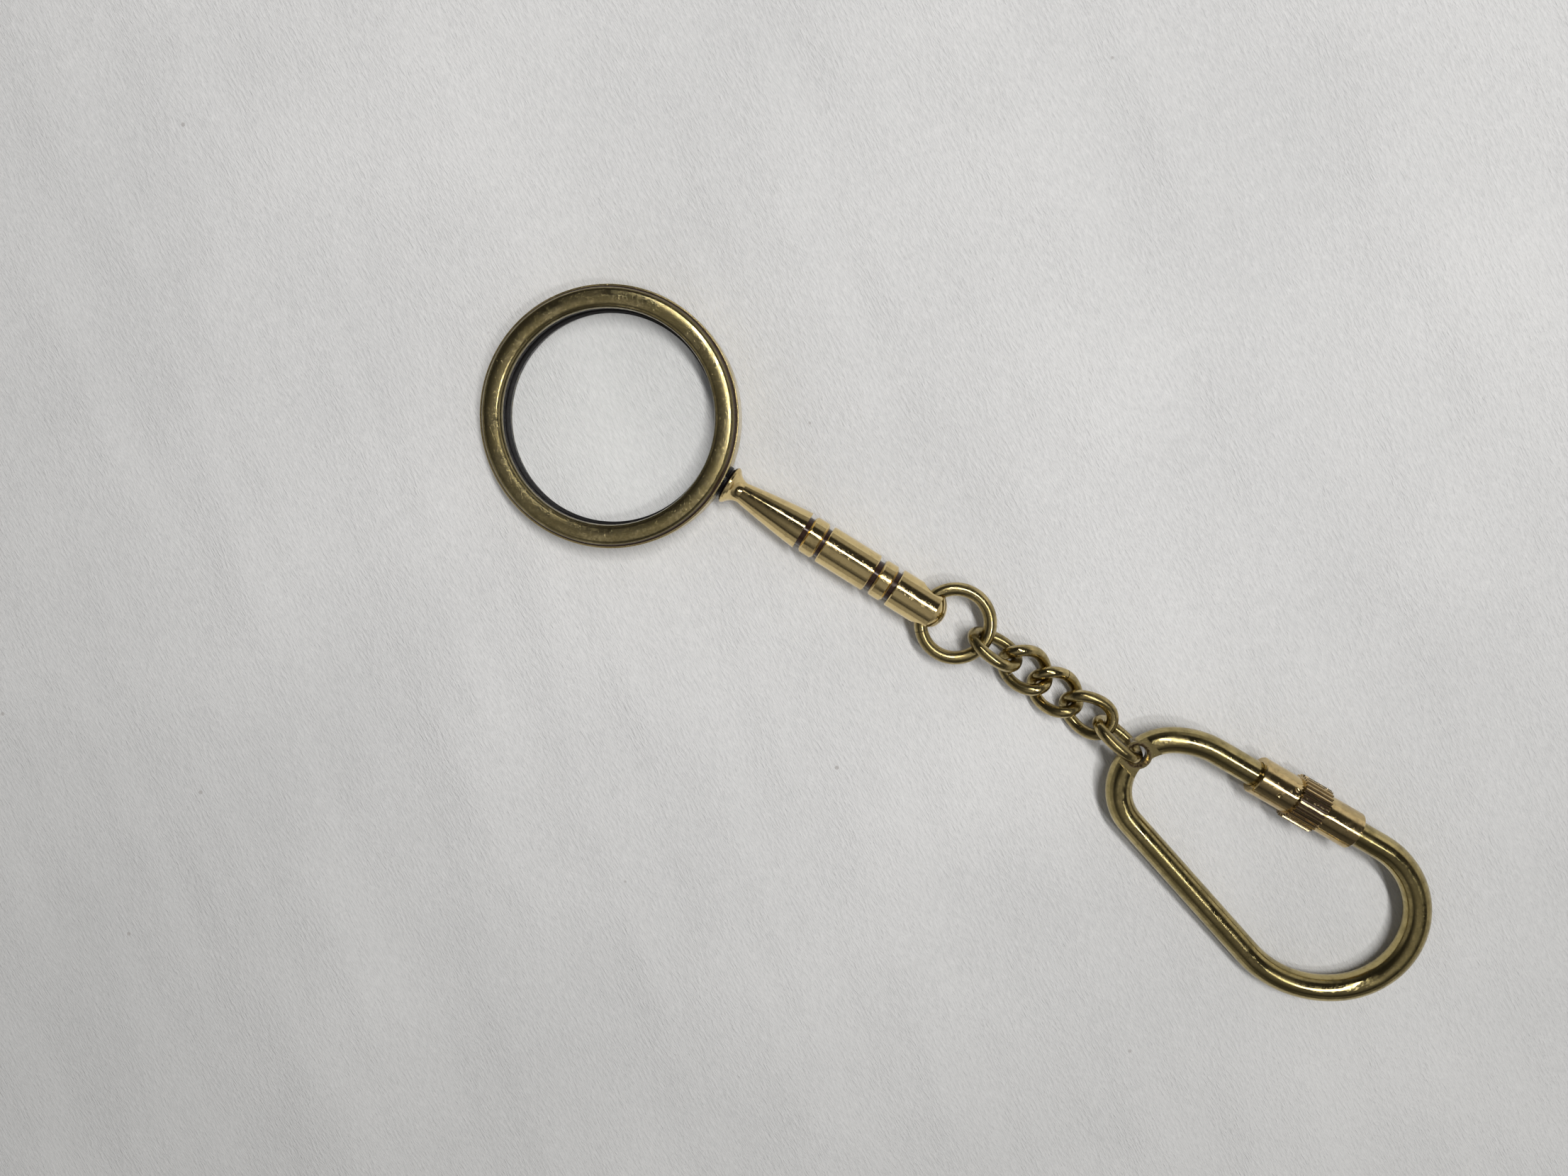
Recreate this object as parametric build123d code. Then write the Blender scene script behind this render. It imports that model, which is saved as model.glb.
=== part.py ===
from build123d import *
import os
from math import acos, atan2, cos, degrees, radians, sin, sqrt

# Brass key-chain hand lens: a framed glass lens with a turned handle, a jump ring,
# five chain links and a bent-rod key ring that a screw lock opens.
# Lengths are millimetres and angles are degrees.
# The origin is on the lens axis, on the surface that the rim lies on. +X runs from the
# lens along the handle towards the key ring, and +Z is the lens axis, upwards.

# Rim: an outer band with a bezel let into each face.
RIM_THICKNESS = 6.2
RIM_MID = RIM_THICKNESS / 2
BAND_RADIUS = 16.25
BAND_LIP_BORE = 16.02
BAND_BORE = 15.6
BAND_EDGE_SETBACK = 1.1
BEZEL_RADIUS = 15.9
BEZEL_CROWN_RADIUS = 14.6
BEZEL_RISE = 1.2
BEZEL_LIP = 0.2
FRONT_BORE_RADIUS = 13.3
BACK_BORE_RADIUS = 13.2
CROWN_WIDTH = 1.5
CROWN_FALL = 0.1
BACK_LAND = 1.3
SKIRT_OUTER = 15.5
SKIRT_BORE = 14.95
SKIRT_DEPTH = 0.55

# Lens and the two black seat rings that hold it.
LENS_RADIUS = 14.7
LENS_EDGE = 1.6
LENS_OPTIC_RADIUS = 13.2
LENS_SURFACE_RADIUS = 80.0
SEAT_BORE_RADIUS = 13.35
SEAT_OUTER_RADIUS = 14.85
SEAT_CHAMFER = 0.15
SLEEVE_OUTER_RADIUS = 13.18
SLEEVE_BORE_RADIUS = 12.9
SLEEVE_FOOT = 0.4
SLEEVE_SLOPE = 0.1

# Handle, turned from one rod, with the black saddle and the stud that join it to the band.
# Its axis passes the lens axis at HANDLE_Y, a little off centre.
HANDLE_Y = 0.71
SADDLE_START = 15.8
SADDLE_RADIUS = 2.1
SADDLE_EDGE_RADIUS = 2.3
SADDLE_WAIST = 0.15
HANDLE_START = 16.8
NECK_X = 18.85
CONE_END = 27.85
FIRST_BEAD = (28.5, 30.55)
LONG_BARREL = (31.05, 38.0)
SECOND_BEAD = (38.75, 40.7)
END_BARREL = (41.3, 47.1)
HANDLE_TIP = 48.55
FLANGE_RADIUS = 2.45
FLANGE_CHAMFER = 0.22
FLANGE_EDGE = (16.95, 17.2, 17.45)
NECK_RADIUS = 1.35
NECK_HOLLOW = (-0.72, 0.23)
CONE_RADIUS = 2.53
CONE_MIDDLE_RADIUS = 2.01
BEAD_RADIUS = 2.48
BARREL_RADIUS = 2.53
END_RADIUS = 2.56
GROOVE_RADIUS = 1.95
TIP_FLAT_RADIUS = 0.75
TIP_ROUND = (0.87, -0.74)
EDGE_BREAK = 0.12
BEAD_BREAK = 0.26
STUD_RADIUS = 0.8
STUD_HEAD_RADIUS = 1.2
STUD_HEAD = (14.98, 15.5)
STUD_END = 23.0
STUD_END_GAP = 0.2
STUD_CLEARANCE = 0.04

# Cross hole in the handle, drilled a little askew, and the jump ring through it.
CROSS_HOLE_X = 46.45
CROSS_HOLE_Y = 0.1
CROSS_HOLE_RADIUS = 1.6
CROSS_HOLE_YAW = 12.0
JUMP_RING_RADIUS = 4.35
JUMP_WIRE_RADIUS = 0.85
JUMP_RING_REACH = 3.9
JUMP_RING_PITCH = -1.5
JUMP_SEAM_ANGLE = 212.0
JUMP_SEAM_WIDTH = 0.08

# Chain links: ovals of round wire. Each row is the node, its centre, yaw, pitch, the roll
# of the wire at its left and right end, and the angle round the oval where it was closed.
LINK_LENGTH = 6.4
LINK_WIDTH = 4.75
LINK_FULLNESS = 0.12
LINK_WIRE_RADIUS = 0.74
LINK_SPANS = 12
SEAM_HALF_ANGLE = 0.8
CHAIN = (
    ("chain_link_1", (56.16, 0.84, 2.86), 0.5, -3.3, -68.0, -57.5, 345.0),
    ("chain_link_2", (60.92, 0.74, 2.26), -3.0, -6.3, 45.5, -44.5, 250.0),
    ("chain_link_3", (65.71, 0.30, 1.94), -2.0, 0.8, 44.0, -45.5, 95.0),
    ("chain_link_4", (70.50, 0.08, 2.39), 0.0, 8.8, 50.0, 0.0, 190.0),
    ("chain_link_5", (75.22, -0.62, 3.02), -8.4, 0.3, -72.0, -72.0, 80.0),
)

# Key ring: a bent rod in its own plane, whose origin is the centre of the nose bend.
RING_ORIGIN = (84.45, -2.54, 2.9)
RING_YAW = 1.6
RING_TILT_X = 3.3
RING_TILT_Y = 0.86
ROD_RADIUS = 1.66
NOSE_RADIUS = 6.5
SHOULDER_RADIUS = 11.0
SHOULDER_TURN = 30.0
LONG_LEG_ANGLE = 18.0
LONG_LEG = 23.0
TOE_RADIUS = 13.2
HEEL_RADIUS = 10.2
EYE_ANGLE = 164.0
EYE_HOLE_RADIUS = 1.2
EYE_COUNTERSINK = 0.3
EYE_BOSS_RADIUS = 1.8
EYE_THICKNESS = 1.8
EYE_FLAT_WIDTH = 4.6
EYE_FLAT_LENGTH = 3.8

# Screw lock on the short leg of the key ring, along the leg from the nose centre.
SHOULDER_END = 2.25
LOCK_TRAVEL = 5.0
TUBE_START = SHOULDER_END + LOCK_TRAVEL + 0.4
ROD_END = 11.8
NUT_START = 12.9
SPIGOT_START = 14.7
NUT_END = 16.7
FERRULE_END = 21.75
THREAD_PITCH = 0.7
BARREL_OUTER = 2.46
BARREL_BORE = 1.73
TAIL_LENGTH = 1.6
TAIL_RADIUS = 2.06
TAIL_BORE_RADIUS = 2.13
NUT_ROOT_RADIUS = 2.64
NUT_CREST_RADIUS = 3.0
NUT_RIDGES = 30
NUT_RIDGE = (
    (0.0, NUT_ROOT_RADIUS),
    (0.32, NUT_ROOT_RADIUS),
    (0.5, NUT_CREST_RADIUS),
    (0.82, NUT_CREST_RADIUS),
)
THREAD_RADIUS = 1.95
THREAD_ROOT_RADIUS = 1.72
THREAD_BORE_RADIUS = 2.02
THREAD_SHAPE = (
    (0.0, THREAD_ROOT_RADIUS),
    (0.25, THREAD_RADIUS),
    (0.45, THREAD_RADIUS),
    (0.7, THREAD_ROOT_RADIUS),
)
SPIGOT_TAIL_RADIUS = 1.2
SPIGOT_TAIL_LENGTH = 2.0
ROD_GRIP = 2.7
FIT_GAP = 0.02
STAKE_RADIUS = 0.6
STAKE_DEPTH = 0.12
STAKES = ((0.75, 28.0), (2.3, -12.0))


def turned_about_z(*edges):
    """Revolve a closed (radius, height) outline about the lens axis."""
    return revolve(Plane.XZ * make_face(edges), axis=Axis.Z)


def turned_about_x(*edges):
    """Revolve a closed (station, radius) outline about the X axis."""
    return revolve(make_face(edges), axis=Axis.X)


def closed_outline(points):
    """A closed outline of straight lines."""
    return Polyline(*points, close=True)


def along_x(station, radius, length):
    """A plain cylinder on the X axis from station, length long."""
    return Pos(station + length / 2, 0, 0) * Rot(0, 90, 0) * Cylinder(radius, length)


def posed(origin, yaw, pitch):
    """The place of a piece whose long axis is turned by yaw and lifted by pitch."""
    return Pos(*origin) * Rot(0, 0, yaw) * Rot(0, -pitch, 0)


def on_handle_axis(piece):
    """Place a piece, made on the X axis, on the axis of the handle."""
    return Pos(0, HANDLE_Y, RIM_MID) * piece


# Rim and lens

def shoulder(start, end, slope):
    """A curve from start, where it falls at slope degrees, round to end, where it is upright."""
    side = 1 if end[0] > start[0] else -1
    leaving = (side * cos(radians(slope)), -sin(radians(slope)))
    return Spline(start, end, tangents=(leaving, (0, -1)))


def bezel(bore, width, fall):
    """Cover ring for the upper face, with a skirt that enters the band. Its crown drops by
    fall at the edges of its width, and is a flat land where fall is nothing."""
    seam = RIM_THICKNESS - BEZEL_RISE
    outer = (BEZEL_RADIUS, seam)
    middle = (BEZEL_CROWN_RADIUS, RIM_THICKNESS)
    crown_outer = (BEZEL_CROWN_RADIUS + width / 2, RIM_THICKNESS - fall)
    crown_inner = (BEZEL_CROWN_RADIUS - width / 2, RIM_THICKNESS - fall)
    crown = ThreePointArc(crown_outer, middle, crown_inner) if fall else Line(crown_outer, crown_inner)
    inner = (bore, seam + BEZEL_LIP)
    slope = 2 * degrees(atan2(fall, width / 2))
    return turned_about_z(
        shoulder(crown_outer, outer, slope),
        crown,
        shoulder(crown_inner, inner, slope),
        Polyline(
            inner,
            (bore, seam),
            (SKIRT_BORE, seam),
            (SKIRT_BORE, seam - SKIRT_DEPTH),
            (SKIRT_OUTER, seam - SKIRT_DEPTH),
            (SKIRT_OUTER, seam),
            outer,
        ),
    )


def front_seat_ring():
    """Black ring between the upper bezel and the edge of the lens."""
    top = RIM_THICKNESS - BEZEL_RISE
    bottom = RIM_MID + LENS_EDGE / 2
    return turned_about_z(
        closed_outline(
            (
                (SEAT_OUTER_RADIUS, bottom),
                (SEAT_OUTER_RADIUS, top),
                (SEAT_BORE_RADIUS + SEAT_CHAMFER, top),
                (SEAT_BORE_RADIUS, top - SEAT_CHAMFER),
                (SEAT_BORE_RADIUS, bottom),
            )
        )
    )


def back_seat_ring():
    """Black ring under the lens, with a sleeve that lines the bore of the back bezel."""
    top = RIM_MID - LENS_EDGE / 2
    return turned_about_z(
        closed_outline(
            (
                (SEAT_OUTER_RADIUS, top),
                (SEAT_OUTER_RADIUS, BEZEL_RISE),
                (SLEEVE_OUTER_RADIUS, BEZEL_RISE),
                (SLEEVE_OUTER_RADIUS, SLEEVE_FOOT),
                (SLEEVE_BORE_RADIUS, SLEEVE_FOOT),
                (SLEEVE_BORE_RADIUS, top - SLEEVE_SLOPE),
                (SEAT_BORE_RADIUS, top),
            )
        )
    )


def to_back(piece):
    """The same piece on the lower face of the rim."""
    return mirror(piece, about=Plane.XY.offset(RIM_MID))


def lens():
    """Double-convex glass with a flat ground edge."""
    crown = LENS_SURFACE_RADIUS - sqrt(LENS_SURFACE_RADIUS**2 - LENS_OPTIC_RADIUS**2)
    half_edge = LENS_EDGE / 2
    half_way = LENS_OPTIC_RADIUS / 2
    drop = LENS_SURFACE_RADIUS - sqrt(LENS_SURFACE_RADIUS**2 - half_way**2)
    top = half_edge + crown
    glass = turned_about_z(
        ThreePointArc((0, top), (half_way, top - drop), (LENS_OPTIC_RADIUS, half_edge)),
        Polyline(
            (LENS_OPTIC_RADIUS, half_edge),
            (LENS_RADIUS, half_edge),
            (LENS_RADIUS, -half_edge),
            (LENS_OPTIC_RADIUS, -half_edge),
        ),
        ThreePointArc((LENS_OPTIC_RADIUS, -half_edge), (half_way, drop - top), (0, -top)),
        Line((0, -top), (0, top)),
    )
    return Pos(0, 0, RIM_MID) * glass


def rim_band():
    """Outer band: a web that carries both bezels and a thin lip round each of them."""
    seam = RIM_THICKNESS - BEZEL_RISE
    edge = RIM_THICKNESS - BAND_EDGE_SETBACK
    band = turned_about_z(
        closed_outline(
            (
                (BAND_BORE, RIM_THICKNESS - seam),
                (BAND_LIP_BORE, RIM_THICKNESS - seam),
                (BAND_LIP_BORE, RIM_THICKNESS - edge),
                (BAND_RADIUS, RIM_THICKNESS - edge),
                (BAND_RADIUS, edge),
                (BAND_LIP_BORE, edge),
                (BAND_LIP_BORE, seam),
                (BAND_BORE, seam),
            )
        )
    )
    outer_edges = band.edges().filter_by(GeomType.CIRCLE).filter_by(
        lambda edge: abs(edge.radius - BAND_RADIUS) < 0.01
    )
    band = fillet(outer_edges, EDGE_BREAK)
    stud_hole = along_x(0, STUD_RADIUS + STUD_CLEARANCE, HANDLE_START)
    return band - on_handle_axis(stud_hole)


# Handle

def saddle_washer():
    """Black washer, hollowed to sit on the band, with a waist and a rolled edge."""
    waist_end = HANDLE_START - 0.1
    waist_start = waist_end - 2 * SADDLE_WAIST
    waist = ((waist_start + waist_end) / 2, SADDLE_RADIUS - SADDLE_WAIST)
    bore = STUD_RADIUS + STUD_CLEARANCE
    washer = turned_about_x(
        Polyline((HANDLE_START, bore), (SADDLE_START, bore), (SADDLE_START, SADDLE_RADIUS)),
        Line((SADDLE_START, SADDLE_RADIUS), (waist_start, SADDLE_RADIUS)),
        ThreePointArc((waist_start, SADDLE_RADIUS), waist, (waist_end, SADDLE_RADIUS)),
        Polyline((waist_end, SADDLE_RADIUS), (HANDLE_START, SADDLE_EDGE_RADIUS), (HANDLE_START, bore)),
    )
    return on_handle_axis(washer) - Cylinder(BAND_RADIUS, 4 * RIM_THICKNESS)


def bead(span, radius, edge_break):
    """Outline points of one turned bead or barrel with broken edges."""
    start, end = span
    return [
        (start, GROOVE_RADIUS),
        (start, radius - edge_break),
        (start + edge_break, radius),
        (end - edge_break, radius),
        (end, radius - edge_break),
        (end, GROOVE_RADIUS),
    ]


def handle():
    """Flange, neck, cone, beads and barrels turned in one piece, with both holes."""
    flange = [
        (HANDLE_START, 0),
        (HANDLE_START, FLANGE_RADIUS - FLANGE_CHAMFER),
        (FLANGE_EDGE[0], FLANGE_RADIUS),
        (FLANGE_EDGE[1], FLANGE_RADIUS),
        (FLANGE_EDGE[2], FLANGE_RADIUS - FLANGE_CHAMFER),
    ]
    neck_start = flange[-1]
    neck_low = (NECK_X, NECK_RADIUS)
    cone_top = (CONE_END, CONE_RADIUS)
    barrels = [
        cone_top,
        (CONE_END, GROOVE_RADIUS),
        *bead(FIRST_BEAD, BEAD_RADIUS, BEAD_BREAK),
        *bead(LONG_BARREL, BARREL_RADIUS, EDGE_BREAK),
        *bead(SECOND_BEAD, BEAD_RADIUS, BEAD_BREAK),
        *bead(END_BARREL, END_RADIUS, EDGE_BREAK)[:3],
        (END_BARREL[1], END_RADIUS),
    ]
    tip_start = barrels[-1]
    tip_end = (HANDLE_TIP, TIP_FLAT_RADIUS)
    tip_middle = (END_BARREL[1] + TIP_ROUND[0], END_RADIUS + TIP_ROUND[1])
    neck_hollow = (NECK_X + NECK_HOLLOW[0], NECK_RADIUS + NECK_HOLLOW[1])
    cone_middle = ((NECK_X + CONE_END) / 2, CONE_MIDDLE_RADIUS)
    shaft = turned_about_x(
        Polyline(*flange),
        ThreePointArc(neck_start, neck_hollow, neck_low),
        ThreePointArc(neck_low, cone_middle, cone_top),
        Polyline(*barrels),
        ThreePointArc(tip_start, tip_middle, tip_end),
        Polyline(tip_end, (HANDLE_TIP, 0), (HANDLE_START, 0)),
    )
    stud_depth = STUD_END + STUD_END_GAP - HANDLE_START
    stud_hole = along_x(HANDLE_START, STUD_RADIUS + STUD_CLEARANCE, stud_depth)
    cross_hole = (
        Pos(CROSS_HOLE_X, CROSS_HOLE_Y - HANDLE_Y, 0)
        * Rot(0, 0, CROSS_HOLE_YAW)
        * Rot(90, 0, 0)
        * Cylinder(CROSS_HOLE_RADIUS, 4 * END_RADIUS)
    )
    return on_handle_axis(shaft - stud_hole - cross_hole)


def handle_stud():
    """Headed stud from inside the band, through the saddle, into the handle."""
    head = along_x(STUD_HEAD[0], STUD_HEAD_RADIUS, STUD_HEAD[1] - STUD_HEAD[0])
    shank = along_x(STUD_HEAD[1], STUD_RADIUS, STUD_END - STUD_HEAD[1])
    return on_handle_axis(head + shank)


# Jump ring and chain

def jump_ring_place():
    """Where the jump ring lies: its own origin is the middle of the ring."""
    hole = (CROSS_HOLE_X, CROSS_HOLE_Y, RIM_MID)
    return posed(hole, CROSS_HOLE_YAW, JUMP_RING_PITCH) * Pos(JUMP_RING_REACH, 0, 0)


def jump_ring():
    """Round wire ring with a closed butt seam."""
    ring = Torus(JUMP_RING_RADIUS, JUMP_WIRE_RADIUS)
    cut = 4 * JUMP_WIRE_RADIUS
    seam = Rot(0, 0, JUMP_SEAM_ANGLE) * Pos(JUMP_RING_RADIUS, 0, 0) * Box(cut, JUMP_SEAM_WIDTH, cut)
    return jump_ring_place() * (ring - seam)


def oval_point(angle, roll_left, roll_right):
    """Point of a link's wire centre line, angle round the oval from its right end."""
    along = LINK_LENGTH / 2 * cos(radians(angle))
    fullness = 1 + LINK_FULLNESS * cos(radians(angle)) ** 2
    across = LINK_WIDTH / 2 * sin(radians(angle)) * fullness
    share = (along / LINK_LENGTH) + 0.5
    roll = radians(roll_left + (roll_right - roll_left) * share)
    return Vector(along, across * cos(roll), across * sin(roll))


def oval_tangent(angle, roll_left, roll_right):
    """Unit direction of the wire at that angle."""
    step = 0.01
    ahead = oval_point(angle + step, roll_left, roll_right)
    behind = oval_point(angle - step, roll_left, roll_right)
    return (ahead - behind).normalized()


def two_arcs(start, start_way, end, end_way):
    """Two arcs that leave start and reach end in the given directions and meet smoothly."""
    chord = end - start
    ways = start_way + end_way
    reach = chord.dot(ways)
    spread = 2 * (1 - start_way.dot(end_way))
    handle_length = (sqrt(reach**2 + spread * chord.dot(chord)) - reach) / spread
    leave = start + start_way * handle_length
    arrive = end - end_way * handle_length
    meeting = (leave + arrive) * 0.5
    first = TangentArc(start, meeting, tangent=start_way)
    second = TangentArc(meeting, end, tangent=(arrive - leave))
    return [first, second]


def chain_link(roll_left, roll_right, seam):
    """One oval of round wire, open by a hair at its seam."""
    first = seam + SEAM_HALF_ANGLE
    step = (360 - 2 * SEAM_HALF_ANGLE) / LINK_SPANS
    angles = [first + step * index for index in range(LINK_SPANS + 1)]
    points = [oval_point(angle, roll_left, roll_right) for angle in angles]
    ways = [oval_tangent(angle, roll_left, roll_right) for angle in angles]
    arcs = []
    for index in range(LINK_SPANS):
        arcs += two_arcs(points[index], ways[index], points[index + 1], ways[index + 1])
    path = Wire([arc.edge() for arc in arcs])
    section = Plane(origin=points[0], z_dir=ways[0]) * Circle(LINK_WIRE_RADIUS)
    return sweep(section, path=path)


# Key ring and its screw lock

def ring_place():
    """Where the plane of the key ring lies, from the centre of its nose bend."""
    return Pos(*RING_ORIGIN) * Rot(0, 0, RING_YAW) * Rot(RING_TILT_X, RING_TILT_Y, 0)


def leg_height():
    """Distance of the short leg from the nose centre."""
    turn = radians(SHOULDER_TURN)
    return NOSE_RADIUS * cos(turn) + SHOULDER_RADIUS * (1 - cos(turn))


def toe_turn():
    """Turn of the toe bend that brings the rod back in line with the short leg."""
    leg = radians(LONG_LEG_ANGLE)
    shoulder = radians(SHOULDER_TURN)
    fall = SHOULDER_RADIUS * (1 - cos(shoulder))
    fall += NOSE_RADIUS * (cos(shoulder) + cos(leg))
    fall += LONG_LEG * sin(leg)
    rise = TOE_RADIUS * cos(leg) + HEEL_RADIUS
    return degrees(acos((fall - rise) / (HEEL_RADIUS - TOE_RADIUS))) + LONG_LEG_ANGLE


def bent_path(start, heading, steps):
    """Centre line of a bent rod: straight runs and left-hand bends, in order."""
    place = Vector(*start)
    edges = []
    for kind, size, turn in steps:
        if kind == "run":
            way = Vector(cos(radians(heading)), sin(radians(heading)))
            edges.append(Line(place, place + way * size))
            place = place + way * size
        else:
            inward = Vector(cos(radians(heading + 90)), sin(radians(heading + 90)))
            centre = place + inward * size
            edges.append(CenterArc(centre, size, heading - 90, turn))
            heading += turn
            outward = Vector(cos(radians(heading - 90)), sin(radians(heading - 90)))
            place = centre + outward * size
    return Wire([edge.edge() for edge in edges]), place


def key_ring_rod():
    """Bent rod with a flattened, drilled and countersunk eye in its nose."""
    toe = toe_turn()
    nose_turn = 180 - SHOULDER_TURN - LONG_LEG_ANGLE
    heel_turn = 180 + LONG_LEG_ANGLE - toe
    bends = (
        ("run", ROD_END - SHOULDER_END, 0),
        ("bend", SHOULDER_RADIUS, SHOULDER_TURN),
        ("bend", NOSE_RADIUS, nose_turn),
        ("run", LONG_LEG, 0),
        ("bend", TOE_RADIUS, toe),
        ("bend", HEEL_RADIUS, heel_turn),
    )
    start = (ROD_END, leg_height())
    heel = bent_path(start, 180, bends)[1]
    last_run = ("run", heel.X - FERRULE_END + ROD_GRIP, 0)
    path = bent_path(start, 180, bends + (last_run,))[0]
    section = Plane(origin=path @ 0, z_dir=path % 0) * Circle(ROD_RADIUS)
    rod = sweep(section, path=path)
    eye = Rot(0, 0, EYE_ANGLE) * Pos(NOSE_RADIUS, 0, 0)
    for side in (-1, 1):
        flat = Box(EYE_FLAT_LENGTH, EYE_FLAT_WIDTH, ROD_RADIUS)
        rod -= eye * Pos(0, 0, side * (EYE_THICKNESS + ROD_RADIUS) / 2) * flat
    rod += eye * Cylinder(EYE_BOSS_RADIUS, EYE_THICKNESS)
    rod -= eye * Cylinder(EYE_HOLE_RADIUS, 4 * EYE_THICKNESS)
    sink = Cone(EYE_HOLE_RADIUS, EYE_HOLE_RADIUS + 2 * EYE_COUNTERSINK, 2 * EYE_COUNTERSINK)
    for turn in (0, 180):
        rod -= eye * Rot(turn, 0, 0) * Pos(0, 0, EYE_THICKNESS / 2) * sink
    return rod


def guide_tube():
    """Barrel that slides on the short leg and holds the tail of the nut."""
    socket = NUT_START - TAIL_LENGTH - FIT_GAP
    tube = turned_about_x(
        closed_outline(
            (
                (TUBE_START, BARREL_BORE),
                (TUBE_START, BARREL_OUTER - EDGE_BREAK),
                (TUBE_START + EDGE_BREAK, BARREL_OUTER),
                (NUT_START - FIT_GAP, BARREL_OUTER),
                (NUT_START - FIT_GAP, TAIL_BORE_RADIUS),
                (socket, TAIL_BORE_RADIUS),
                (socket, BARREL_BORE),
            )
        )
    )
    for setback, turn in STAKES:
        stake = Pos(NUT_START - setback, 0, BARREL_OUTER + STAKE_RADIUS - STAKE_DEPTH) * Sphere(STAKE_RADIUS)
        tube -= Rot(-turn, 0, 0) * stake
    return tube


def lock_nut():
    """Knurled nut with a tail that turns in the guide tube."""
    pitch_angle = 360 / NUT_RIDGES
    corners = []
    for ridge in range(NUT_RIDGES):
        for share, radius in NUT_RIDGE:
            angle = radians((ridge + share) * pitch_angle)
            corners.append((radius * cos(angle), radius * sin(angle)))
    knurl = extrude(make_face(closed_outline(corners)), amount=NUT_END - NUT_START)
    nut = Pos(NUT_START, 0, 0) * Rot(0, 90, 0) * knurl
    nut += along_x(NUT_START - TAIL_LENGTH, TAIL_RADIUS, TAIL_LENGTH)
    nut -= along_x(NUT_START - TAIL_LENGTH, BARREL_BORE, TAIL_LENGTH + NUT_END - NUT_START)
    thread_depth = NUT_END - SPIGOT_START + 0.1
    return nut - along_x(NUT_END - thread_depth, THREAD_BORE_RADIUS, thread_depth)


def lock_spigot():
    """Threaded end that the nut screws onto: rings stand for the thread."""
    points = [(SPIGOT_START, 0), (SPIGOT_START, THREAD_ROOT_RADIUS)]
    station = SPIGOT_START + EDGE_BREAK
    while station + THREAD_PITCH < NUT_END:
        for share, radius in THREAD_SHAPE:
            points.append((station + share * THREAD_PITCH, radius))
        station += THREAD_PITCH
    tail_end = NUT_END + FIT_GAP + SPIGOT_TAIL_LENGTH
    points += [
        (NUT_END + FIT_GAP, THREAD_ROOT_RADIUS),
        (NUT_END + FIT_GAP, SPIGOT_TAIL_RADIUS),
        (tail_end, SPIGOT_TAIL_RADIUS),
        (tail_end, 0),
    ]
    return turned_about_x(closed_outline(points))


def lock_ferrule():
    """Fixed barrel that joins the spigot to the end of the rod."""
    start = NUT_END + FIT_GAP
    rod_stop = FERRULE_END - ROD_GRIP
    return turned_about_x(
        closed_outline(
            (
                (start, SPIGOT_TAIL_RADIUS),
                (start, BARREL_OUTER - EDGE_BREAK),
                (start + EDGE_BREAK, BARREL_OUTER),
                (FERRULE_END - EDGE_BREAK, BARREL_OUTER),
                (FERRULE_END, BARREL_OUTER - EDGE_BREAK),
                (FERRULE_END, ROD_RADIUS + FIT_GAP),
                (rod_stop, ROD_RADIUS + FIT_GAP),
                (rod_stop, SPIGOT_TAIL_RADIUS),
            )
        )
    )


def on_short_leg(piece):
    """Place a lock piece, made on the X axis, on the short leg of the key ring."""
    return ring_place() * Pos(0, leg_height(), 0) * piece


def assembly():
    """Every node of the hand lens by name."""
    nodes = {
        "rim_band": rim_band(),
        "front_bezel": bezel(FRONT_BORE_RADIUS, CROWN_WIDTH, CROWN_FALL),
        "back_bezel": to_back(bezel(BACK_BORE_RADIUS, BACK_LAND, 0)),
        "front_seat_ring": front_seat_ring(),
        "back_seat_ring": back_seat_ring(),
        "lens": lens(),
        "saddle_washer": saddle_washer(),
        "handle_stud": handle_stud(),
        "handle": handle(),
        "jump_ring": jump_ring(),
        "key_ring_rod": ring_place() * key_ring_rod(),
        "guide_tube": on_short_leg(guide_tube()),
        "lock_nut": on_short_leg(lock_nut()),
        "lock_spigot": on_short_leg(lock_spigot()),
        "lock_ferrule": on_short_leg(lock_ferrule()),
    }
    for name, centre, yaw, pitch, roll_left, roll_right, seam in CHAIN:
        nodes[name] = posed(centre, yaw, pitch) * chain_link(roll_left, roll_right, seam)
    return nodes


NODES = assembly()
os.makedirs("parts", exist_ok=True)
for node_name, solid in NODES.items():
    export_step(solid, f"parts/{node_name}.step")
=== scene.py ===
from math import pi, radians

import bpy
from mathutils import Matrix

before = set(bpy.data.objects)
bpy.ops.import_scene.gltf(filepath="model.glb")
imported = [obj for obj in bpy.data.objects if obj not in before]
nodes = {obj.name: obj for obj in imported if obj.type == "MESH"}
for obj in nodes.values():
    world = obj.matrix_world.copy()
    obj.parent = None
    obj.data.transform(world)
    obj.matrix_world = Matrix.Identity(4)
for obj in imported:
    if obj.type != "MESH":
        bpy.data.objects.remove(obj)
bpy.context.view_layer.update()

# Blender works in metres. The materials, and every size down to the paints, are in millimetres.
MM = 0.001

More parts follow.
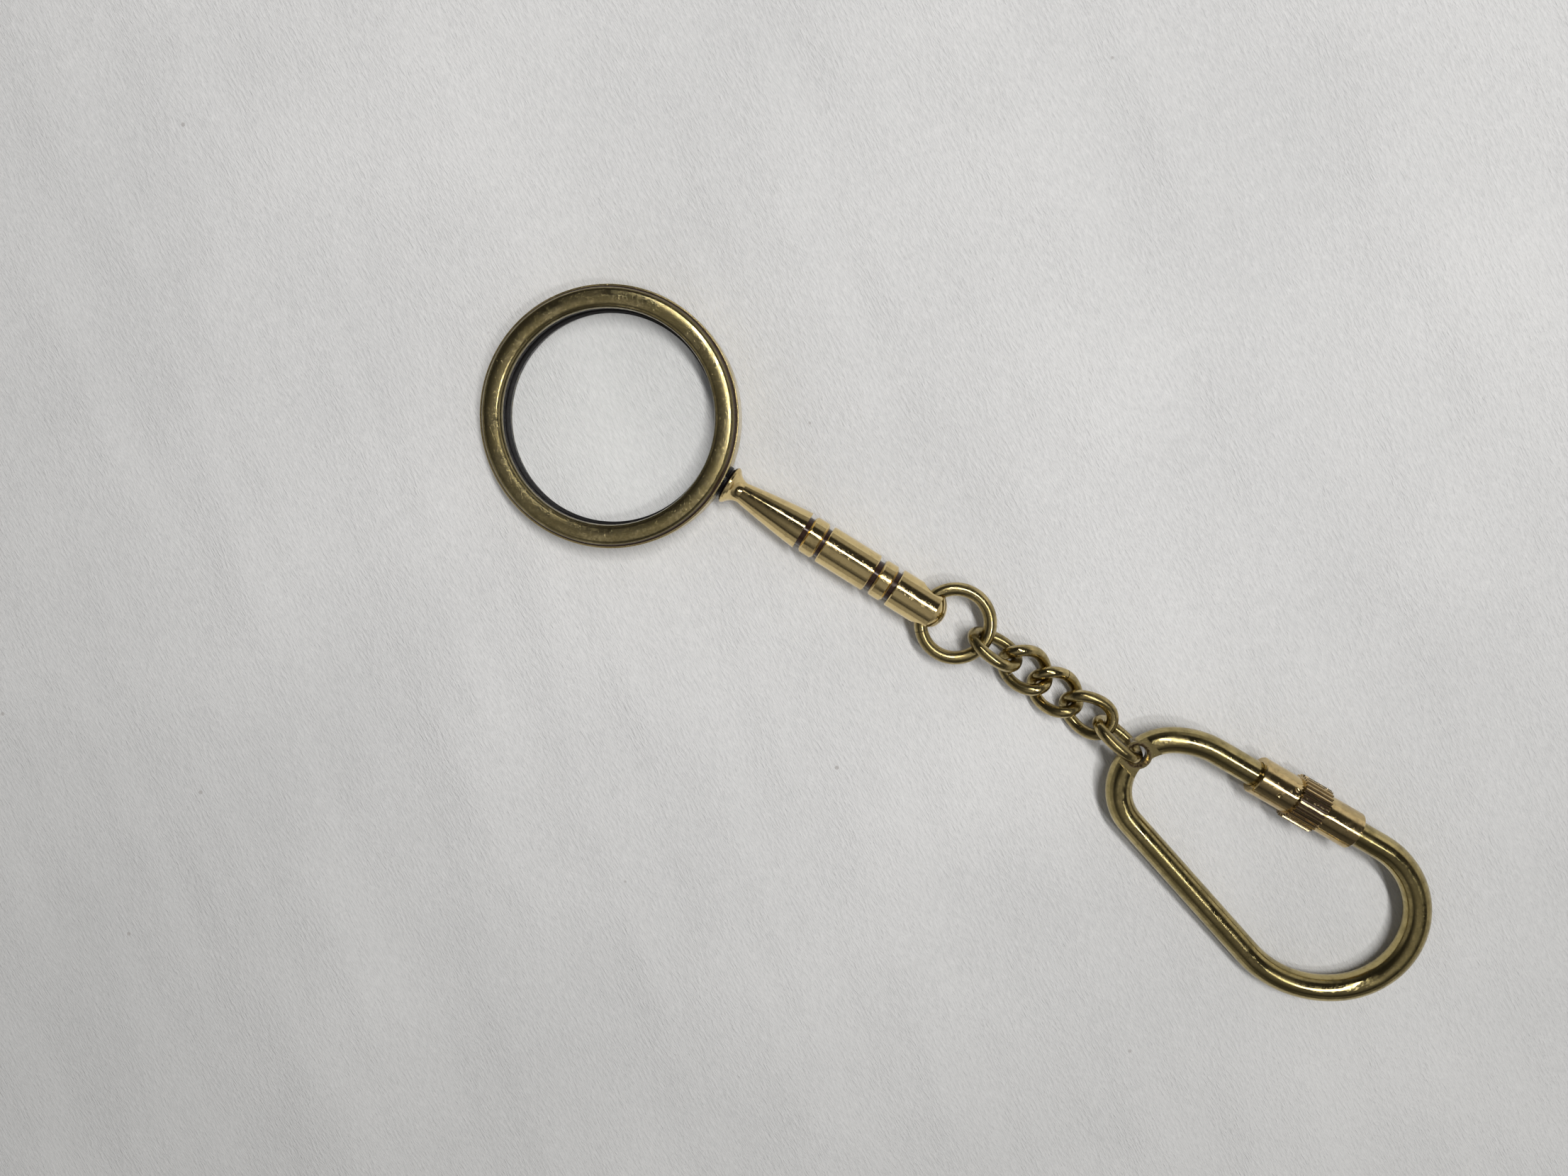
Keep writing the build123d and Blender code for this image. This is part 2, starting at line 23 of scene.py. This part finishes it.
RIM_MID = 3.1                        # height of the lens plane and of the handle's axis
HANDLE_Y = 0.71                      # how far the handle's axis passes the lens axis
GROOVE_RADII = (2.0, 2.4)            # above the grooves' floor, and inside the beads
GROOVE_STATIONS = (27.8, 41.35)      # from the end of the cone to the end barrel, along X
ROOT_STATIONS = (16.5, 16.95)        # foot of the handle, beside the saddle
BAND_LEDGE_RADII = (16.0, 16.1)      # across the rim band's lip
BAND_LEDGE_RISE = (1.5, 1.7)         # from the lens plane, short of the band's ledge
BEZEL_SEAM_RADII = (15.6, 15.74)     # near the bezel's outer edge
BEZEL_SEAM_RISE = (2.6, 2.8)         # from the lens plane, above the foot of the slope
BEZEL_OUTER_SLOPE = (15.25, 15.75)
BEZEL_INNER_SLOPE = (13.35, 13.65)
EYE_CENTRE = (78.16, -0.93, 3.10)
EYE_SHADE_RADII = (1.75, 2.15)
LOCK_START = (97.145, 4.920, 3.116)  # start of the knurl, on the lock's axis
LOCK_AXIS = (0.99947, 0.02878, -0.01498)
KNURL_RADII = (2.68, 2.99)           # above the knurl's roots, and at its crests
KNURL_STATIONS = (0.05, 3.75)        # its length along the axis

RIM_ARC_RADIUS = 14.0                # turns an angle about the lens axis into a length
RIM_MARKS_PER_MM = 7.0               # across the turning marks of the rim
HANDLE_MARKS_PER_MM = 0.5            # along the rubbing marks of the handle
HANDLE_MARKS_PER_RADIAN = 16.0

# Colours of old brass, from worn to tarnished.
RIM = dict(bright=(0.64, 0.54, 0.29), dull=(0.36, 0.295, 0.14), dark=(0.10, 0.08, 0.04))
BAND = dict(bright=(0.70, 0.57, 0.29), dull=(0.50, 0.40, 0.19), dark=(0.20, 0.14, 0.07))
HANDLE = dict(bright=(0.80, 0.63, 0.31), dull=(0.66, 0.51, 0.245), dark=(0.28, 0.19, 0.09))
CHAIN = dict(bright=(0.60, 0.48, 0.23), dull=(0.34, 0.27, 0.12), dark=(0.09, 0.065, 0.032))
LOOP = dict(bright=(0.54, 0.44, 0.205), dull=(0.34, 0.275, 0.12), dark=(0.11, 0.085, 0.04))
LOCK = dict(bright=(0.70, 0.54, 0.27), dull=(0.52, 0.39, 0.19), dark=(0.20, 0.13, 0.065))
KNURL = dict(bright=(0.62, 0.48, 0.26), dull=(0.42, 0.31, 0.165), dark=(0.16, 0.10, 0.05))

# Other colours.
# Dirt and painted shade, for seams, grooves, the knurl and round the eye.
DIRT_AND_SHADE_COLOUR = (0.035, 0.016, 0.010)
PIT = (0.05, 0.035, 0.02)
CLEAR_GLASS = (0.995, 1.0, 0.995)
GLASS_SHADOW = (1.05, 1.05, 1.05)
BLACK_PLASTIC = (0.005, 0.004, 0.0045)
DUST = (0.05, 0.038, 0.03)
PAPER_LOW = (0.67, 0.67, 0.67)
PAPER_HIGH = (0.86, 0.855, 0.85)
# Painted shade: the paper's colour far from its centre.
PAPER_PAINTED_SHADE = (0.40, 0.40, 0.39)
PAPER_SPECK = (0.30, 0.27, 0.25)

# Painted shade: the paper's colour darkens away from here, between two distances.
PAPER_CENTRE = (-5.0, 58.0, 0.0)
PAPER_FALL = (65.0, 190.0)
PAPER_FALL_DEPTH = 0.46


class Nodes:
    """Builds a node tree. Inputs are given as plain values or as other nodes' outputs."""

    def __init__(self, tree):
        self.tree = tree
        tree.nodes.clear()

    def add(self, kind, **settings):
        node = self.tree.nodes.new(kind)
        for key, value in settings.items():
            setattr(node, key, value)
        return node

    def feed(self, socket, value):
        if isinstance(value, bpy.types.NodeSocket):
            self.tree.links.new(value, socket)
        elif isinstance(value, (tuple, list)) and len(value) == 3 and socket.type == "RGBA":
            socket.default_value = (*value, 1.0)
        else:
            socket.default_value = value

    def feed_all(self, sockets, values):
        for socket, value in zip(sockets, values):
            self.feed(socket, value)

    def vector(self, operation, first, second=None, scale=None):
        node = self.add("ShaderNodeVectorMath", operation=operation)
        self.feed(node.inputs[0], first)
        if second is not None:
            self.feed(node.inputs[1], second)
        if scale is not None:
            self.feed(node.inputs["Scale"], scale)
        gives_number = operation in ("LENGTH", "DOT_PRODUCT")
        return node.outputs["Value" if gives_number else "Vector"]

    def math(self, operation, *values):
        node = self.add("ShaderNodeMath", operation=operation)
        self.feed_all(node.inputs, values)
        return node.outputs[0]

    def average(self, first, second, share):
        """The two together, first by its share and second by the rest."""
        return self.math(
            "ADD", self.math("MULTIPLY", first, share), self.math("MULTIPLY", second, 1 - share)
        )

    def split(self, vector):
        node = self.add("ShaderNodeSeparateXYZ")
        self.feed(node.inputs[0], vector)
        return node.outputs[0], node.outputs[1], node.outputs[2]

    def join(self, x, y, z):
        node = self.add("ShaderNodeCombineXYZ")
        self.feed_all(node.inputs, (x, y, z))
        return node.outputs[0]

    def blend(self, share, first, second):
        node = self.add("ShaderNodeMix", data_type="RGBA")
        self.feed_all((node.inputs[0], node.inputs[6], node.inputs[7]), (share, first, second))
        return node.outputs[2]


class Material(Nodes):
    """A material's nodes. mm is the place on the object, in millimetres."""

    def __init__(self, name):
        self.material = bpy.data.materials.new(name)
        self.material.use_nodes = True
        super().__init__(self.material.node_tree)
        place = self.add("ShaderNodeTexCoord").outputs["Object"]
        self.mm = self.vector("SCALE", place, scale=1 / MM)

    def turned(self, vector, angles, sizes):
        """Coordinates whose axes are turned by angles and measured in the given sizes, so
        that noise on them is longest along the turned axis of the largest size."""
        node = self.add("ShaderNodeMapping", vector_type="TEXTURE")
        self.feed(node.inputs["Vector"], vector)
        node.inputs["Rotation"].default_value = [radians(a) for a in angles]
        node.inputs["Scale"].default_value = sizes
        return node.outputs[0]

    def noise(self, vector, scale, detail, rough, distortion=0.0):
        node = self.add("ShaderNodeTexNoise")
        self.feed(node.inputs["Vector"], vector)
        node.inputs["Scale"].default_value = scale
        node.inputs["Detail"].default_value = detail
        node.inputs["Roughness"].default_value = rough
        node.inputs["Distortion"].default_value = distortion
        return node.outputs["Fac"]

    def cells(self, vector, scale):
        """Distance from the nearest of many scattered points."""
        node = self.add("ShaderNodeTexVoronoi", feature="F1")
        self.feed(node.inputs["Vector"], vector)
        node.inputs["Scale"].default_value = scale
        return node.outputs["Distance"]

    def step(self, value, low, high, to_low=0.0, to_high=1.0):
        """Smooth change from to_low to to_high as value goes from low to high."""
        node = self.add("ShaderNodeMapRange", interpolation_type="SMOOTHSTEP")
        self.feed_all(node.inputs, (value, low, high, to_low, to_high))
        return node.outputs[0]

    def between(self, value, low, high, soft):
        """One inside low..high and nothing outside, with soft edges."""
        rise = self.step(value, low - soft, low + soft)
        fall = self.step(value, high - soft, high + soft, 1.0, 0.0)
        return self.math("MULTIPLY", rise, fall)

    def either(self, *shares):
        total = shares[0]
        for share in shares[1:]:
            total = self.math("MAXIMUM", total, share)
        return total

    def bump(self, height, depth_mm, strength=1.0, under=None):
        node = self.add("ShaderNodeBump")
        self.feed(node.inputs["Height"], height)
        node.inputs["Distance"].default_value = depth_mm * MM
        node.inputs["Strength"].default_value = strength
        if under is not None:
            self.feed(node.inputs["Normal"], under)
        return node.outputs[0]

    def surface(self, **inputs):
        shader = self.add("ShaderNodeBsdfPrincipled")
        for key, value in inputs.items():
            self.feed(shader.inputs[key.replace("_", " ")], value)
        return shader.outputs[0]

    def finish(self, shader):
        out = self.add("ShaderNodeOutputMaterial")
        self.tree.links.new(shader, out.inputs["Surface"])
        return self.material


def scratches(g, angle, length, width, sparse):
    """Straight fine scratches that run at one angle: how marked each place is, 0 to 1."""
    stretched = g.turned(g.mm, (0, 0, angle), (length, width, width))
    return g.step(g.noise(stretched, 1.0, 2.0, 0.5), sparse, sparse + 0.08)


def any_way(g):
    """Coordinates in which fine marks run one slanting way."""
    return g.turned(g.mm, (12, 25, 40), (4.0, 0.11, 0.11))


def brass(
    name, bright, dull, dark, patina, rough, marks,
    grain_along=any_way, dirt_and_shade=None, shade=None, pits=0.0, swell=4.0, satin=0.0,
):
    """Old brass. bright, dull and dark are its colours from worn to tarnished, patina how
    much of it is dull, rough its roughness, and marks how deep its scratches are in mm.
    grain_along is a function giving the coordinates that its finest marks follow, residue
    one giving where dirt and painted shade darken it, and shade one giving where painted
    shade darkens it to its dark colour. pits is the share of small dark pits. swell is how
    uneven it is on the scale of a millimetre, as a multiple of marks, and satin how deep its
    finest specks are, the same way."""
    g = Material(name)
    cloud = g.noise(g.mm, 0.22, 4.0, 0.6, 0.4)
    mottle = g.noise(g.mm, 1.3, 5.0, 0.65)
    speckle = g.noise(g.mm, 5.0, 3.0, 0.6)

    tarnish = g.step(g.average(cloud, mottle, 0.55), 0.5 - patina * 0.35, 0.72 - patina * 0.3)
    colour = g.blend(tarnish, bright, dull)
    spots = g.step(g.average(mottle, speckle, 0.5), 0.56, 0.68)
    spots = g.math("MULTIPLY", spots, 0.35 + 0.5 * patina)
    colour = g.blend(spots, colour, dark)
    roughness = g.step(g.average(tarnish, speckle, 0.6), 0.2, 0.8, rough - 0.07, rough + 0.12)

    lines = g.either(
        scratches(g, 24, 3.2, 0.07, 0.62),
        scratches(g, -47, 2.1, 0.06, 0.64),
        scratches(g, 82, 2.6, 0.09, 0.66),
    )
    grain = g.noise(grain_along(g), 1.0, 4.0, 0.6)
    height = g.math("ADD", g.math("MULTIPLY", grain, 0.8), g.math("MULTIPLY", lines, -0.7))
    normal = g.bump(height, marks)
    normal = g.bump(mottle, marks * swell, 0.6, normal)
    if satin:
        normal = g.bump(speckle, marks * satin, 1.0, normal)

    if pits:
        holes = g.step(g.cells(g.mm, 1.6), 0.05, 0.16, 1.0, 0.0)
        holes = g.math("MULTIPLY", holes, g.step(cloud, 0.66 - pits * 0.2, 0.74 - pits * 0.2))
        colour = g.blend(g.math("MULTIPLY", holes, 0.85), colour, PIT)
        normal = g.bump(g.math("MULTIPLY", holes, -1.0), 0.03, 0.8, normal)
    # Painted shade: the colour darkens to the dark brass where the given function says.
    if shade:
        colour = g.blend(shade(g), colour, dark)
    metal = 1.0
    # Dirt and painted shade darken the colour where the given function says.
    if dirt_and_shade:
        where = dirt_and_shade(g)
        colour = g.blend(where, colour, DIRT_AND_SHADE_COLOUR)
        roughness = g.math("ADD", roughness, g.math("MULTIPLY", where, 0.08))
        metal = g.math("SUBTRACT", 1.0, g.math("MULTIPLY", where, 0.75))
    return g.finish(
        g.surface(Base_Color=colour, Metallic=metal, Roughness=roughness, Normal=normal)
    )


def radius_about_lens(g):
    x, y, _ = g.split(g.mm)
    return g.vector("LENGTH", g.join(x, y, 0.0))


def off_lens_plane(g):
    """Distance above or below the lens plane."""
    _, _, z = g.split(g.mm)
    return g.math("ABSOLUTE", g.math("SUBTRACT", z, RIM_MID))


def round_the_rim(g):
    """Coordinates that run round the rim, so that marks are short arcs."""
    x, y, z = g.split(g.mm)
    return g.join(
        g.math("MULTIPLY", g.math("ARCTAN2", y, x), RIM_ARC_RADIUS),
        g.math("MULTIPLY", radius_about_lens(g), RIM_MARKS_PER_MM),
        g.math("MULTIPLY", z, RIM_MARKS_PER_MM),
    )


def about_handle(g):
    """Station along the handle, and the place across its axis."""
    x, y, z = g.split(g.mm)
    return x, g.math("SUBTRACT", y, HANDLE_Y), g.math("SUBTRACT", z, RIM_MID)


def round_the_handle(g):
    """Coordinates in which rubbing marks run along the handle."""
    station, across, up = about_handle(g)
    return g.join(
        g.math("MULTIPLY", station, HANDLE_MARKS_PER_MM),
        g.math("MULTIPLY", g.math("ARCTAN2", up, across), HANDLE_MARKS_PER_RADIAN),
        0.0,
    )


def along_the_lock(g):
    """Coordinates in which fine marks run along the lock."""
    return g.turned(g.mm, (0, 0, 1.6), (2.0, 0.12, 0.12))


def handle_dark_grooves_and_root_dirt(g):
    """Darker in the handle's grooves, and dirt round its root."""
    station, across, up = about_handle(g)
    radius = g.vector("LENGTH", g.join(0.0, across, up))
    depth = g.step(radius, *GROOVE_RADII, 1.0, 0.0)
    grooves = g.math("MULTIPLY", depth, g.between(station, *GROOVE_STATIONS, 0.05))
    return g.either(grooves, g.between(station, *ROOT_STATIONS, 0.12))


def band_seam_dirt_and_shade(g):
    """Dirt and painted shade on the ledge of the rim band, in the seam beside the bezel."""
    inside = g.step(radius_about_lens(g), *BAND_LEDGE_RADII, 1.0, 0.0)
    return g.math("MULTIPLY", inside, g.step(off_lens_plane(g), *BAND_LEDGE_RISE))


def bezel_seam_dirt_and_shade(g):
    """Dirt and painted shade at the foot of the bezel's outer wall, in the seam."""
    outside = g.step(radius_about_lens(g), *BEZEL_SEAM_RADII)
    return g.math("MULTIPLY", outside, g.step(off_lens_plane(g), *BEZEL_SEAM_RISE, 1.0, 0.0))


def bezel_edge_painted_shade(g):
    """Painted shade on the slopes of the bezel near its two edges."""
    radius = radius_about_lens(g)
    return g.either(
        g.step(radius, *BEZEL_OUTER_SLOPE, 0.0, 0.6),
        g.step(radius, *BEZEL_INNER_SLOPE, 0.5, 0.0),
    )


def knurl_dirt_and_shade(g):
    """Dirt and painted shade between the ridges of the nut."""
    away = g.vector("SUBTRACT", g.mm, LOCK_START)
    station = g.vector("DOT_PRODUCT", away, LOCK_AXIS)
    foot = g.vector("SCALE", LOCK_AXIS, scale=station)
    radius = g.vector("LENGTH", g.vector("SUBTRACT", away, foot))
    depth = g.step(radius, *KNURL_RADII, 0.95, 0.0)
    return g.math("MULTIPLY", depth, g.between(station, *KNURL_STATIONS, 0.02))


def eye_painted_shade(g):
    """Dark painted shade, in patches, in and round the eye in the nose of the key ring."""
    away = g.vector("LENGTH", g.vector("SUBTRACT", g.mm, EYE_CENTRE))
    # Breaks the painted shade into patches.
    worn = g.step(g.noise(g.mm, 3.0, 3.0, 0.6), 0.45, 0.65, 1.0, 0.35)
    return g.math("MULTIPLY", g.step(away, *EYE_SHADE_RADII, 0.95, 0.0), worn)


def glass():
    """Clear glass, slightly smeared, that casts no dark shadow."""
    g = Material("lens_glass")
    smears = g.step(g.noise(g.mm, 0.6, 5.0, 0.6), 0.52, 0.8, 0.0, 0.006)
    shader = g.surface(
        Base_Color=CLEAR_GLASS, Roughness=smears, IOR=1.5, Transmission_Weight=1.0
    )
    through = g.add("ShaderNodeBsdfTransparent")
    g.feed(through.inputs["Color"], GLASS_SHADOW)
    rays = g.add("ShaderNodeLightPath")
    for kind in ("Is Shadow Ray", "Is Diffuse Ray"):
        mix = g.add("ShaderNodeMixShader")
        g.feed_all(mix.inputs, (rays.outputs[kind], shader, through.outputs[0]))
        shader = mix.outputs[0]
    return g.finish(shader)


def black(name, rough, depth):
    """Black plastic, a little lumpy and dusty. depth is its bump in mm."""
    g = Material(name)
    lumps = g.noise(g.mm, 2.2, 4.0, 0.6)
    dust = g.step(g.noise(g.mm, 7.0, 3.0, 0.7), 0.6, 0.75)
    return g.finish(
        g.surface(
            Base_Color=g.blend(g.math("MULTIPLY", dust, 0.5), BLACK_PLASTIC, DUST),
            Roughness=g.step(lumps, 0.3, 0.7, rough - 0.08, rough + 0.15),
            Specular_IOR_Level=0.22,
            Normal=g.bump(lumps, depth),
        )
    )


def paper():
    """Plain pale paper with fibres, faint folds and a few specks, and painted shade that
    darkens it away from a centre.
    """
    g = Material("paper")
    fibres = g.noise(g.turned(g.mm, (0, 0, -31), (1.5, 0.32, 1.0)), 1.0, 3.0, 0.62)
    fine = g.noise(g.turned(g.mm, (0, 0, -24), (0.5, 0.15, 1.0)), 1.0, 2.0, 0.6)
    broad = g.noise(g.mm, 0.022, 3.0, 0.5)
    folds = g.noise(g.turned(g.mm, (0, 0, -40), (90.0, 16.0, 1.0)), 1.0, 2.0, 0.5)
    weave = g.average(fibres, fine, 0.65)

    tone = g.step(g.average(weave, broad, 0.65), 0.3, 0.7)
    colour = g.blend(tone, PAPER_LOW, PAPER_HIGH)
    # Painted shade: the paper's colour darkens with distance from its centre.
    away = g.vector("LENGTH", g.vector("SUBTRACT", g.mm, PAPER_CENTRE))
    colour = g.blend(g.step(away, *PAPER_FALL, 0.0, PAPER_FALL_DEPTH), colour, PAPER_PAINTED_SHADE)
    specks = g.step(g.cells(g.mm, 0.09), 0.018, 0.03, 0.45, 0.0)
    colour = g.blend(specks, colour, PAPER_SPECK)

    normal = g.bump(weave, 0.32, 0.9)
    waves = g.math("ADD", broad, g.math("MULTIPLY", folds, 0.45))
    normal = g.bump(waves, 6.0, 0.5, normal)
    return g.finish(
        g.surface(Base_Color=colour, Roughness=0.75, Specular_IOR_Level=0.25, Normal=normal)
    )


def paint(names, material):
    for name in names:
        mesh = nodes[name].data
        if not mesh.materials:
            mesh.materials.append(material)
        for index in range(len(mesh.materials)):
            mesh.materials[index] = material


# Dirt and painted shade in the seam on the band's ledge.
paint(["rim_band"], brass(
    "rim_band_brass", **BAND, patina=0.35, rough=0.20, marks=0.003,
    grain_along=round_the_rim, dirt_and_shade=band_seam_dirt_and_shade,
))
# Painted shade on the bezel's slopes near its edges, and dirt and painted shade in its seam.
paint(["front_bezel", "back_bezel"], brass(
    "bezel_brass", **RIM, patina=0.5, rough=0.14, marks=0.005,
    grain_along=round_the_rim, dirt_and_shade=bezel_seam_dirt_and_shade, shade=bezel_edge_painted_shade, swell=0.6, satin=0.35,
))
paint(["handle"], brass(
    "handle_brass", **HANDLE, patina=0.2, rough=0.12, marks=0.002,
    grain_along=round_the_handle, dirt_and_shade=handle_dark_grooves_and_root_dirt,
))
paint(["handle_stud"], brass(
    "stud_brass", **HANDLE, patina=0.3, rough=0.28, marks=0.002,
))
paint(["jump_ring"], brass(
    "jump_ring_brass", **CHAIN, patina=0.45, rough=0.15, marks=0.003,
))
paint([f"chain_link_{n}" for n in range(1, 6)], brass(
    "chain_brass", **CHAIN, patina=0.5, rough=0.14, marks=0.003,
))
# Painted shade in and round the eye.
paint(["key_ring_rod"], brass(
    "key_ring_brass", **LOOP, patina=0.4, rough=0.12, marks=0.002,
    dirt_and_shade=eye_painted_shade, pits=0.5,
))
paint(["guide_tube", "lock_ferrule", "lock_spigot"], brass(
    "lock_brass", **LOCK, patina=0.3, rough=0.12, marks=0.002,
    grain_along=along_the_lock, pits=0.3,
))
# Dirt and painted shade between the ridges of the knurl.
paint(["lock_nut"], brass(
    "knurl_brass", **KNURL, patina=0.35, rough=0.15, marks=0.003,
    grain_along=along_the_lock, dirt_and_shade=knurl_dirt_and_shade,
))
paint(["lens"], glass())
paint(["front_seat_ring", "back_seat_ring"], black("seat_black", rough=0.42, depth=0.02))
paint(["saddle_washer"], black("saddle_black", rough=0.22, depth=0.08))

# From here on, sizes are in metres.
FLOOR_SIZE = 3.0
FLOOR_LEVEL = -0.00002               # just under the back bezel, so that they don't coincide
bpy.ops.mesh.primitive_plane_add(size=FLOOR_SIZE, location=(0, 0, FLOOR_LEVEL))
floor = bpy.context.object
floor.name = "floor"
floor.data.materials.append(paper())

LAMP_COLOUR = (1.0, 0.99, 0.975)
TUBE_PLACE = (0.16, 0.31, 1.0)
TUBE_TURN = -29.5


def soft_lamp(name, place, turn, length, width, power, shines_in_metal):
    """Oblong soft lamp that hangs level at place and is turned about the vertical, in
    degrees. It either shines in the metal, as a thin bright line, or lights surfaces."""
    light = bpy.data.lights.new(name, "AREA")
    light.shape = "RECTANGLE"
    light.size, light.size_y = length, width
    light.energy = power
    light.color = LAMP_COLOUR
    lamp = bpy.data.objects.new(name, light)
    bpy.context.collection.objects.link(lamp)
    lamp.location = place
    lamp.rotation_euler = (0, 0, radians(turn))
    lamp.visible_glossy = shines_in_metal
    lamp.visible_diffuse = not shines_in_metal
    return lamp


lamps = (
    soft_lamp("glint_lamp", TUBE_PLACE, TUBE_TURN, 1.15, 0.08, 5.6, shines_in_metal=True),
    soft_lamp("tube_lamp", TUBE_PLACE, TUBE_TURN, 0.60, 0.09, 7.4, shines_in_metal=False),
    soft_lamp("second_lamp", (0.50, -0.02, 1.0), 0.0, 0.10, 0.10, 2.1, shines_in_metal=False),
)

# The lens shows no lamp in it.
kept_out = bpy.data.collections.new("kept_out_of_lamps")
kept_out.objects.link(nodes["lens"])
for lamp in lamps:
    lamp.light_linking.receiver_collection = kept_out
kept_out.collection_objects[0].light_linking.link_state = "EXCLUDE"

# Surroundings: a dim room that is darkest part of the way up, as metal sees it, and a plain
# soft fill for everything that is not a reflection. The walls' grey levels go by the share of
# a turn from +X, and the ceiling's by how nearly a direction runs along a leaning axis.
WALLS = (
    (0.0, 0.42), (0.09, 0.45), (0.17, 0.75), (0.25, 0.32), (0.33, 0.08), (0.42, 0.04),
    (0.5, 0.06), (0.6, 0.25), (0.67, 0.36), (0.75, 0.32), (0.84, 0.07), (0.92, 0.14),
    (1.0, 0.42),
)
CEILING = ((0.55, 0.022), (0.78, 0.03), (0.9, 0.12), (0.985, 0.30))
CEILING_AXIS = (0.1, -0.34, 0.935)
WALL_TO_CEILING = ((0.36, 0.0), (0.56, 1.0))   # share of ceiling, by height
FILL = (0.175, 0.175, 0.175)


def grey_ramp(w, source, levels):
    """Grey levels, very slightly warm, at the given places from 0 to 1."""
    ramp = w.add("ShaderNodeValToRGB")
    w.feed(ramp.inputs[0], source)
    ramp.color_ramp.interpolation = "EASE"
    stops = ramp.color_ramp.elements
    for _ in levels[2:]:
        stops.new(0.5)
    for stop, (position, level) in zip(stops, levels):
        stop.position = position
        stop.color = (level, level * 0.97, level * 0.93, 1)
    return ramp.outputs[0]


world = bpy.data.worlds.new("studio")
bpy.context.scene.world = world
world.use_nodes = True
w = Nodes(world.node_tree)
direction = w.add("ShaderNodeTexCoord").outputs["Generated"]
east, north, up = w.split(direction)
turn = w.math("MULTIPLY_ADD", w.math("ARCTAN2", north, east), 0.5 / pi, 1.0)
walls = grey_ramp(w, w.math("FRACT", turn), WALLS)
ceiling = grey_ramp(w, w.vector("DOT_PRODUCT", direction, CEILING_AXIS), CEILING)
room = w.blend(grey_ramp(w, up, WALL_TO_CEILING), walls, ceiling)
diffuse_ray = w.add("ShaderNodeLightPath").outputs["Is Diffuse Ray"]
background = w.add("ShaderNodeBackground")
w.feed(background.inputs["Color"], w.blend(diffuse_ray, room, FILL))
w.feed(w.add("ShaderNodeOutputWorld").inputs["Surface"], background.outputs[0])

camera_data = bpy.data.cameras.new("camera")
camera_data.sensor_width = 36.0
camera_data.lens = 27.03
camera_data.clip_start = 0.005
camera = bpy.data.objects.new("camera", camera_data)
bpy.context.collection.objects.link(camera)
camera.location = (0.02992, 0.01066, 0.15065)
camera.rotation_euler = (radians(-5.655), radians(3.634), radians(31.72))
bpy.context.scene.camera = camera
bpy.context.scene.view_settings.view_transform = "Standard"
